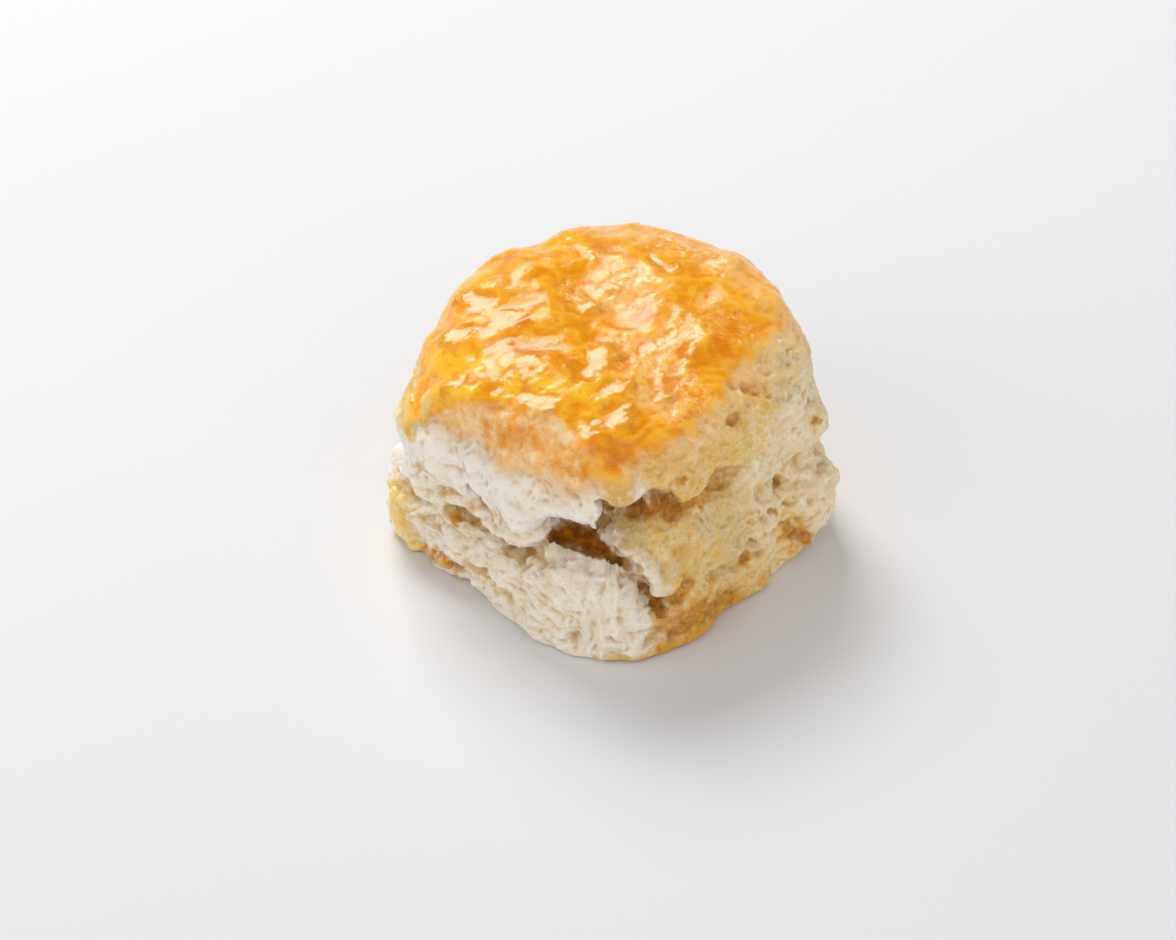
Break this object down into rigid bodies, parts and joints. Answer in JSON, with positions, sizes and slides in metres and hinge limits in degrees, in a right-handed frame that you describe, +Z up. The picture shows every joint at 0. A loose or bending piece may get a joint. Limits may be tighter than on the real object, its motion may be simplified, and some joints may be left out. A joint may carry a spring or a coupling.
{
  "type": "buttermilk biscuit",
  "caption": "Tall square-cut flaky quick bread with a domed golden crust, split into two baked layers that open at one corner, standing on its level foot.",
  "frame": {"origin": "under the middle of the biscuit, at the level of its foot", "axes": "+Z up; the four flanks face +X, +Y, -X and -Y, and the corner where the layers open lies between +X and -Y"},
  "size_m": [0.0694, 0.0706, 0.0442],
  "materials": {
    "crumb": "matte",
    "butter": "gloss"
  },
  "bodies": {
    "root": {"biscuit": "crumb"}
  },
  "joints": []
}
